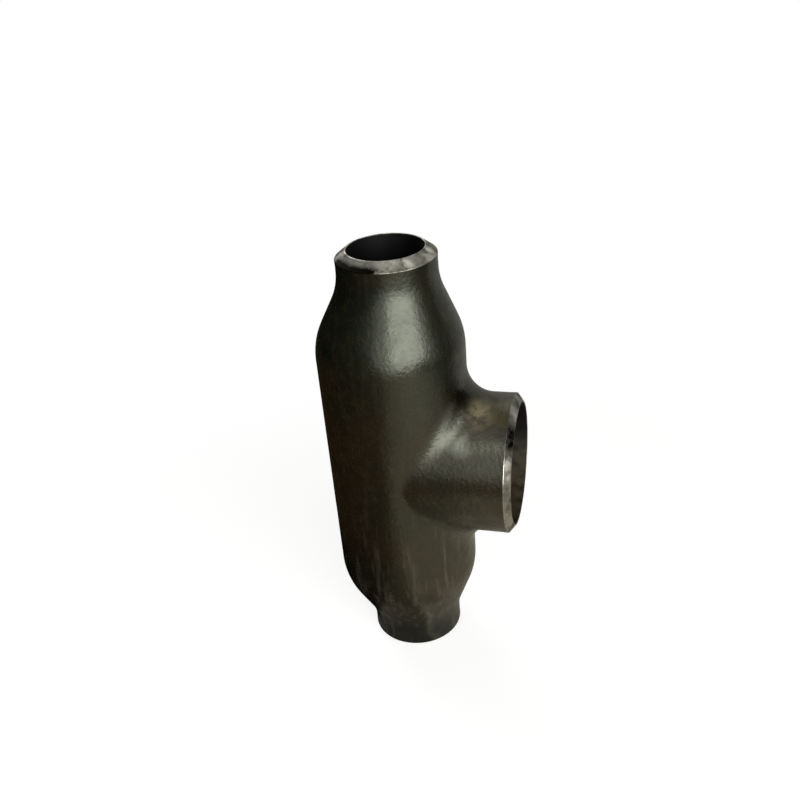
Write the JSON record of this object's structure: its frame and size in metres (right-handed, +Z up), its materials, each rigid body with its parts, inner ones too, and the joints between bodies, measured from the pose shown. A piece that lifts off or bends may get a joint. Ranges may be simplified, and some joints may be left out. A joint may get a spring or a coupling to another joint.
{
  "type": "reducing tee",
  "caption": "Forged butt-weld pipe tee: a swollen barrel drawn down to a smaller pipe size at each run end, with a larger branch from its middle; all ends bevelled for welding.",
  "frame": {"origin": "centre of the lower run end's face, on the run's axis", "axes": "+Z up along the run's axis, +X along the branch's axis towards the branch's face"},
  "size_m": [0.2352, 0.1748, 0.54],
  "materials": {
    "forged_steel": "black varnish over shot-blasted forging scale, satin, with bare ground weld bevels"
  },
  "bodies": {
    "root": {"tee_body": "forged_steel"}
  },
  "joints": []
}
